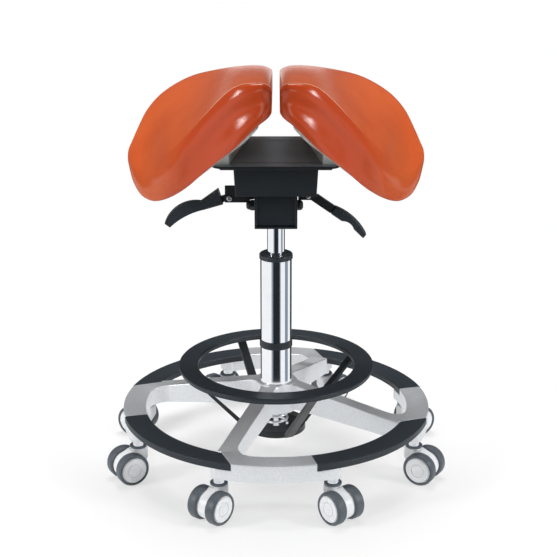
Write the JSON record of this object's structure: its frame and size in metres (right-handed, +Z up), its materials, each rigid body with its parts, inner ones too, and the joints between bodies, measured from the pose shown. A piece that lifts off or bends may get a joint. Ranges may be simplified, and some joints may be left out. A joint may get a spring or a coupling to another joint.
{
  "type": "medical exam stool",
  "caption": "Split saddle stool on a gas column with a foot release ring, hand levers, a cast base with foot rest arcs and twin-wheel castors.",
  "frame": {"origin": "on the floor, on the axis of the column", "axes": "+Z up along the column, -Y to the front of the seat"},
  "size_m": [0.5384, 0.5374, 0.6505],
  "materials": {
    "orange_vinyl": "soft satin upholstery vinyl",
    "pale_shell": "pale moulded shell",
    "black_steel": "black powder coat",
    "bright_steel": "bright zinc plate",
    "black_plastic": "black moulded plastic",
    "guide_plastic": "natural plastic",
    "chrome": "polished chrome",
    "cast_silver": "silver coated casting",
    "collar_grey": "grey plastic",
    "castor_white": "white moulded plastic",
    "tyre_grey": "soft grey tread"
  },
  "bodies": {
    "base": {"base_casting": "cast_silver", "foot_rest_arc_front_right": "black_plastic", "foot_rest_arc_back_right": "black_plastic", "foot_rest_arc_back_left": "black_plastic", "foot_rest_arc_front_left": "black_plastic", "castor_stems": "bright_steel", "castor_collars": "collar_grey", "stand_tube": "chrome", "column_band": "black_plastic", "column_collar": "black_plastic", "guide_bush": "guide_plastic", "piston_rod": "bright_steel", "thrust_bearing": "bright_steel", "release_stud": "bright_steel", "return_spring": "bright_steel"},
    "lift": {"gas_cylinder": "chrome"},
    "valve": {"valve_button": "bright_steel"},
    "swivel": {"swivel_bracket": "black_steel", "tilt_bolt": "black_steel", "tilt_cap_nut": "black_steel"},
    "seat": {"mechanism_box": "black_steel", "seat_plate": "black_steel", "seat_shell_left": "pale_shell", "seat_shell_right": "pale_shell", "cushion_left": "orange_vinyl", "cushion_right": "orange_vinyl", "seat_screws": "bright_steel", "lever_brackets": "black_steel", "lever_pins": "bright_steel"},
    "lever_left": {"lever_left_arm": "bright_steel", "lever_left_grip": "black_plastic"},
    "lever_right": {"lever_right_arm": "bright_steel", "lever_right_grip": "black_plastic"},
    "release_pivot": {"release_washer": "bright_steel"},
    "release_pedal": {"release_ring": "black_plastic", "release_spider": "black_steel"},
    "castor_front_left": {"castor_front_left_fork": "castor_white"},
    "castor_front_left_wheel": {"castor_front_left_wheels": "castor_white", "castor_front_left_tyres": "tyre_grey"},
    "castor_front_right": {"castor_front_right_fork": "castor_white"},
    "castor_front_right_wheel": {"castor_front_right_wheels": "castor_white", "castor_front_right_tyres": "tyre_grey"},
    "castor_right_front": {"castor_right_front_fork": "castor_white"},
    "castor_right_front_wheel": {"castor_right_front_wheels": "castor_white", "castor_right_front_tyres": "tyre_grey"},
    "castor_right_back": {"castor_right_back_fork": "castor_white"},
    "castor_right_back_wheel": {"castor_right_back_wheels": "castor_white", "castor_right_back_tyres": "tyre_grey"},
    "castor_back_right": {"castor_back_right_fork": "castor_white"},
    "castor_back_right_wheel": {"castor_back_right_wheels": "castor_white", "castor_back_right_tyres": "tyre_grey"},
    "castor_back_left": {"castor_back_left_fork": "castor_white"},
    "castor_back_left_wheel": {"castor_back_left_wheels": "castor_white", "castor_back_left_tyres": "tyre_grey"},
    "castor_left_back": {"castor_left_back_fork": "castor_white"},
    "castor_left_back_wheel": {"castor_left_back_wheels": "castor_white", "castor_left_back_tyres": "tyre_grey"},
    "castor_left_front": {"castor_left_front_fork": "castor_white"},
    "castor_left_front_wheel": {"castor_left_front_wheels": "castor_white", "castor_left_front_tyres": "tyre_grey"}
  },
  "joints": [
    {"name": "seat_lift", "type": "slide", "parent": "base", "child": "lift", "axis": [0, 0, 1], "range_m": [-0.045, 0.095]},
    {"name": "seat_swivel", "type": "hinge", "parent": "lift", "child": "swivel", "pos_m": [0, 0, 0.4013], "axis": [0, 0, 1], "continuous": true},
    {"name": "seat_tilt", "type": "hinge", "parent": "swivel", "child": "seat", "pos_m": [0, -0.028, 0.4353], "axis": [1, 0, 0], "range_deg": [0, 12]},
    {"name": "lever_left_lift", "type": "hinge", "parent": "seat", "child": "lever_left", "pos_m": [-0.0725, 0, 0.4413], "axis": [0, 1, 0], "range_deg": [0, 5], "stiffness_Nm_per_rad": 3, "springref_deg": -5.73},
    {"name": "valve_press", "type": "slide", "parent": "lift", "child": "valve", "axis": [0, 0, 1], "range_m": [-0.0067, 0]},
    {"name": "lever_right_lift", "type": "hinge", "parent": "seat", "child": "lever_right", "pos_m": [0.05, 0, 0.4453], "axis": [0, -1, 0], "range_deg": [0, 12], "stiffness_Nm_per_rad": 3, "springref_deg": -5.73},
    {"name": "release_tip_front_back", "type": "hinge", "parent": "base", "child": "release_pivot", "pos_m": [0, 0, 0.0479], "axis": [1, 0, 0], "range_deg": [-3, 3], "stiffness_Nm_per_rad": 60},
    {"name": "release_tip_side", "type": "hinge", "parent": "release_pivot", "child": "release_pedal", "pos_m": [0, 0, 0.0479], "axis": [0, 1, 0], "range_deg": [-3, 3], "stiffness_Nm_per_rad": 60},
    {"name": "castor_front_left_turn", "type": "hinge", "parent": "base", "child": "castor_front_left", "pos_m": [-0.08575, -0.2188, 0.054], "axis": [0, 0, 1], "continuous": true},
    {"name": "castor_front_left_roll", "type": "hinge", "parent": "castor_front_left", "child": "castor_front_left_wheel", "pos_m": [-0.0977, -0.23356, 0.026], "axis": [-0.7771, 0.6293, 0], "continuous": true},
    {"name": "castor_front_right_turn", "type": "hinge", "parent": "base", "child": "castor_front_right", "pos_m": [0.08575, -0.2188, 0.054], "axis": [0, 0, 1], "continuous": true},
    {"name": "castor_front_right_roll", "type": "hinge", "parent": "castor_front_right", "child": "castor_front_right_wheel", "pos_m": [0.0977, -0.23356, 0.026], "axis": [-0.7771, -0.6293, 0], "continuous": true},
    {"name": "castor_right_front_turn", "type": "hinge", "parent": "base", "child": "castor_right_front", "pos_m": [0.2188, -0.08575, 0.054], "axis": [0, 0, 1], "continuous": true},
    {"name": "castor_right_front_roll", "type": "hinge", "parent": "castor_right_front", "child": "castor_right_front_wheel", "pos_m": [0.23525, -0.09525, 0.026], "axis": [-0.5, -0.866, 0], "continuous": true},
    {"name": "castor_right_back_turn", "type": "hinge", "parent": "base", "child": "castor_right_back", "pos_m": [0.2188, 0.08575, 0.054], "axis": [0, 0, 1], "continuous": true},
    {"name": "castor_right_back_roll", "type": "hinge", "parent": "castor_right_back", "child": "castor_right_back_wheel", "pos_m": [0.23525, 0.09525, 0.026], "axis": [0.5, -0.866, 0], "continuous": true},
    {"name": "castor_back_right_turn", "type": "hinge", "parent": "base", "child": "castor_back_right", "pos_m": [0.08575, 0.2188, 0.054], "axis": [0, 0, 1], "continuous": true},
    {"name": "castor_back_right_roll", "type": "hinge", "parent": "castor_back_right", "child": "castor_back_right_wheel", "pos_m": [0.09736, 0.23383, 0.026], "axis": [0.7912, -0.6115, 0], "continuous": true},
    {"name": "castor_back_left_turn", "type": "hinge", "parent": "base", "child": "castor_back_left", "pos_m": [-0.08575, 0.2188, 0.054], "axis": [0, 0, 1], "continuous": true},
    {"name": "castor_back_left_roll", "type": "hinge", "parent": "castor_back_left", "child": "castor_back_left_wheel", "pos_m": [-0.09736, 0.23383, 0.026], "axis": [0.7912, 0.6115, 0], "continuous": true},
    {"name": "castor_left_back_turn", "type": "hinge", "parent": "base", "child": "castor_left_back", "pos_m": [-0.2188, 0.08575, 0.054], "axis": [0, 0, 1], "continuous": true},
    {"name": "castor_left_back_roll", "type": "hinge", "parent": "castor_left_back", "child": "castor_left_back_wheel", "pos_m": [-0.23525, 0.09525, 0.026], "axis": [0.5, 0.866, 0], "continuous": true},
    {"name": "castor_left_front_turn", "type": "hinge", "parent": "base", "child": "castor_left_front", "pos_m": [-0.2188, -0.08575, 0.054], "axis": [0, 0, 1], "continuous": true},
    {"name": "castor_left_front_roll", "type": "hinge", "parent": "castor_left_front", "child": "castor_left_front_wheel", "pos_m": [-0.23525, -0.09525, 0.026], "axis": [-0.5, 0.866, 0], "continuous": true}
  ],
  "couplings": [
    {"joint": "valve_press", "follows": "lever_left_lift", "m_per_rad": -0.074}
  ]
}
